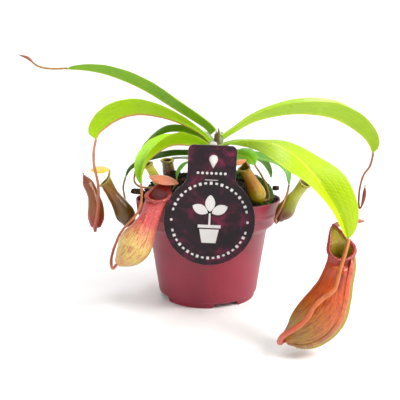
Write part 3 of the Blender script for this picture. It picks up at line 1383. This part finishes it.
def build_stake():
    foot, head = Vector((2.6, -50.0, 66.0)), Vector((2.6, -60.4, 131.0))
    direction = (head - foot).normalized()
    across = Vector((1, 0, 0))
    depth = direction.cross(across)
    sheet = Sheet()
    length = (head - foot).length
    stations = [0, 3, 8, 20, 40, length - 4, length - 2, length - 0.9, length - 0.3, length]
    shares = [0.35, 0.75, 1, 1, 1, 1, 0.98, 0.86, 0.66, 0.4]
    corner = [(-1, -0.4), (-0.86, -1), (0.86, -1), (1, -0.4), (1, 0.4), (0.86, 1), (-0.86, 1),
              (-1, 0.4)]
    rows = []
    for along, share in zip(stations, shares):
        middle = foot + direction * along
        rows.append(sheet.row([middle + across * (x * 2.85 * share) + depth * (y * 0.6)
                               for x, y in corner], along / length, 0))
    sheet.skin(rows)
    sheet.cap(rows[0], foot, 0, 0, flip=True)
    sheet.cap(rows[-1], head, 1, 0)
    x, z, radius, point = HOLE
    pegs = []
    for share, lift in ((0.92, -TAG_THICKNESS - 0.2), (0.92, 0.1), (0.8, 0.45), (0.4, 0.65)):
        pegs.append(sheet.row([tag_place(x + (a - x) * share, z - 1 + (b - z + 1) * share, lift)
                               for a, b in hole_outline()[:PEG_POINTS]], 0.5, 0))
    sheet.skin(pegs)
    sheet.cap(pegs[0], tag_place(x, z - 1, -TAG_THICKNESS - 0.2), 0, 0, flip=True)
    sheet.cap(pegs[-1], tag_place(x, z - 1, 0.7), 0, 0)
    sheet.build("tag_stake_blade", plain_paint("stake_paint", rgb(244, 242, 236), 0.38),
                ("tag_stake",))


# ---------------------------------------------------------------- colours of each piece

BRIGHT = dict(near=rgb(160, 216, 0), far=rgb(196, 236, 0), under=rgb(150, 206, 0),
              rib=rgb(232, 246, 40), edge=rgb(232, 246, 60))
LEAF_LOOKS = {
    "far_left": dict(near=rgb(178, 226, 0), far=rgb(150, 208, 0), under=rgb(134, 198, 0),
                     rib=rgb(214, 226, 30), edge=rgb(206, 234, 40)),
    "left": dict(near=rgb(180, 232, 0), far=rgb(192, 236, 0), under=rgb(180, 228, 0),
                 rib=rgb(232, 150, 84), edge=rgb(200, 234, 30), rib_width=0.07),
    "front_left": dict(near=rgb(178, 232, 0), far=rgb(160, 224, 0), under=rgb(178, 228, 0),
                       rib=rgb(230, 168, 100), edge=rgb(206, 238, 60), rib_width=0.07),
    "mid_left": dict(near=rgb(150, 216, 0), far=rgb(120, 198, 0), under=rgb(136, 200, 10),
                     rib=rgb(150, 200, 40), edge=rgb(160, 216, 50)),
    "back_left": dict(near=rgb(44, 120, 0), far=rgb(56, 136, 0), under=rgb(90, 150, 20),
                      rib=rgb(120, 170, 40), edge=rgb(130, 186, 50)),
    "far_right": dict(BRIGHT, under=rgb(184, 228, 0)),
    "front_right": dict(BRIGHT, near=rgb(168, 220, 0), far=rgb(206, 238, 10), rib_width=0.045),
    "right": dict(near=rgb(90, 166, 0), far=rgb(100, 176, 0), under=rgb(110, 174, 20),
                  rib=rgb(176, 216, 50), edge=rgb(160, 216, 50)),
    "low_right": dict(near=rgb(120, 190, 0), far=rgb(130, 200, 0), under=rgb(120, 180, 20),
                      rib=rgb(186, 220, 50), edge=rgb(170, 220, 50)),
}
PLAIN_LEAF = dict(near=rgb(76, 158, 0), far=rgb(98, 180, 0), under=rgb(104, 170, 16),
                  rib=rgb(160, 210, 40), edge=rgb(150, 210, 50))

TENDRIL_COLOURS = {
    "far_left": (rgb(196, 160, 30), rgb(170, 96, 36)),
    "left": (rgb(226, 150, 104), rgb(186, 52, 24)),
    "front_left": (rgb(206, 120, 30), rgb(206, 84, 50)),
    "front_right": (rgb(216, 130, 40), rgb(220, 76, 56)),
    "far_right": (rgb(170, 110, 20), rgb(150, 54, 20)),
    "right": (rgb(170, 110, 20), rgb(170, 84, 30)),
}
PLAIN_TENDRIL = (rgb(160, 130, 20), rgb(150, 84, 26))

RED_LIP = dict(lip=rgb(224, 60, 34), lip_dark=rgb(150, 14, 12))
YELLOW_LIP = dict(lip=rgb(226, 206, 50), lip_dark=rgb(170, 150, 20))
PITCHER_LOOKS = {
    "far_left": dict(stops=((0.0, rgb(170, 100, 40)), (0.5, rgb(190, 84, 30)), (1.0, rgb(120, 56, 30))),
                     inside=rgb(90, 40, 20), vein=rgb(110, 50, 20), hairs=3),
    "left": dict(stops=((0.0, rgb(170, 28, 14)), (0.16, rgb(176, 48, 12)), (0.34, rgb(164, 84, 4)),
                        (0.6, rgb(158, 78, 4)), (0.9, rgb(150, 72, 12)), (1.0, rgb(140, 60, 40))),
                 inside=rgb(80, 30, 10), vein=rgb(112, 40, 4), hairs=7),
    "front_left": dict(stops=((0.0, rgb(224, 170, 80)), (0.16, rgb(236, 204, 104)),
                              (0.36, rgb(244, 210, 120)), (0.48, rgb(236, 160, 110)),
                              (0.62, rgb(226, 96, 92)), (0.84, rgb(222, 84, 84)),
                              (1.0, rgb(214, 72, 62))),
                       inside=rgb(150, 20, 16), vein=rgb(186, 54, 50), vein_share=0.55,
                       speck=rgb(250, 190, 172), lip_size=1.6,
                       wings=(dict(turn=0.10, slope=-0.5, first=0.03, last=0.95, height=0.55,
                                   wide_by=2.0),
                              dict(turn=0.75, slope=-0.4, first=0.25, last=0.94, height=0.5)),
                       **RED_LIP),
    "mid_left": dict(stops=((0.0, rgb(140, 150, 10)), (0.5, rgb(186, 190, 20)), (1.0, rgb(220, 214, 40))),
                     inside=rgb(120, 110, 30), vein=rgb(160, 110, 20), **YELLOW_LIP),
    "back_left": dict(stops=((0.0, rgb(96, 56, 4)), (0.3, rgb(126, 92, 4)), (0.5, rgb(130, 84, 6)),
                             (0.8, rgb(176, 110, 24)), (1.0, rgb(186, 150, 30))),
                      inside=rgb(110, 80, 10), vein=rgb(96, 44, 4), lip_size=0.9, vein_share=0.5,
                      wings=(dict(turn=0.4, first=0.15, last=0.9, height=0.9, teeth=26, hair=2.0),),
                      **YELLOW_LIP),
    "small_left": dict(stops=((0.0, rgb(110, 60, 10)), (0.6, rgb(140, 90, 14)), (1.0, rgb(170, 150, 30))),
                       inside=rgb(80, 60, 20), vein=rgb(96, 44, 10), vein_share=0.6, **YELLOW_LIP),
    "far_right": dict(stops=((0.0, rgb(160, 84, 30)), (0.5, rgb(170, 66, 26)), (1.0, rgb(150, 60, 34))),
                      inside=rgb(90, 40, 20), vein=rgb(120, 40, 16), hairs=6),
    "front_right": dict(stops=((0.0, rgb(186, 120, 20)), (0.12, rgb(176, 132, 14)),
                               (0.30, rgb(196, 116, 4)), (0.44, rgb(212, 98, 6)),
                               (0.62, rgb(218, 86, 8)), (0.86, rgb(212, 76, 12)),
                               (1.0, rgb(206, 56, 20))),
                        inside=rgb(186, 160, 40), vein=rgb(140, 30, 4), vein_share=0.62,
                        lip_size=1.45, spur=7,
                        wings=(dict(turn=1.22, first=0.05, last=0.97, height=1.7, teeth=60,
                                    zone=1.0, hair=1.6, wide_by=1.6),
                               dict(turn=0.70, first=0.05, last=0.97, height=1.0, wide_by=4.0),
                               dict(turn=0.18, slope=-0.2, first=0.62, last=0.97, height=0.7,
                                    wide_by=2.5)),
                        **RED_LIP),
    "right": dict(stops=((0.0, rgb(100, 24, 10)), (0.2, rgb(120, 60, 10)), (0.38, rgb(140, 140, 14)),
                         (0.7, rgb(186, 190, 70)), (1.0, rgb(190, 186, 30))),
                  inside=rgb(150, 140, 40), vein=rgb(110, 90, 10), lip_size=0.8, **YELLOW_LIP),
    "low_right": dict(stops=((0.0, rgb(186, 176, 20)), (0.3, rgb(200, 180, 24)), (0.6, rgb(206, 140, 24)),
                             (1.0, rgb(206, 170, 40))),
                      inside=rgb(150, 120, 20), vein=rgb(190, 80, 20), lip_size=0.8, vein_share=0.6,
                      **YELLOW_LIP),
    "back": dict(stops=((0.0, rgb(190, 120, 20)), (0.4, rgb(216, 110, 36)), (1.0, rgb(210, 84, 50))),
                 inside=rgb(130, 60, 30), vein=rgb(180, 52, 24), vein_share=0.55, **RED_LIP),
}
LID_LOOKS = {
    "front_left": (rgb(244, 150, 110), rgb(216, 74, 56), rgb(226, 110, 70)),
    "back_left": (rgb(252, 232, 80), rgb(236, 140, 40), rgb(226, 190, 60)),
    "front_right": (rgb(232, 110, 66), rgb(206, 60, 36), rgb(216, 84, 50)),
    "right": (rgb(210, 190, 60), rgb(180, 90, 40), rgb(200, 170, 60)),
    "low_right": (rgb(250, 170, 90), rgb(230, 96, 60), rgb(230, 140, 80)),
    "back": (rgb(226, 130, 70), rgb(200, 60, 36), rgb(206, 110, 60)),
}

# ---------------------------------------------------------------- make everything

build_pot()
build_soil()
build_moss()
build_bark()
build_stem()
for place, leaf in LEAVES.items():
    look = LEAF_LOOKS.get(place, PLAIN_LEAF)
    build_leaf(f"leaf_{place}", leaf, leaf_paint(f"leaf_paint_{place}", **look))
for place, tendril in TENDRILS.items():
    build_tendril(place, tendril, *TENDRIL_COLOURS.get(place, PLAIN_TENDRIL))
for place, pitcher in PITCHERS.items():
    build_pitcher(place, pitcher, PITCHER_LOOKS[place])
    if pitcher["lid"]:
        build_lid(place, pitcher["lid"], LID_LOOKS[place])
build_tag()
build_print()
build_stake()
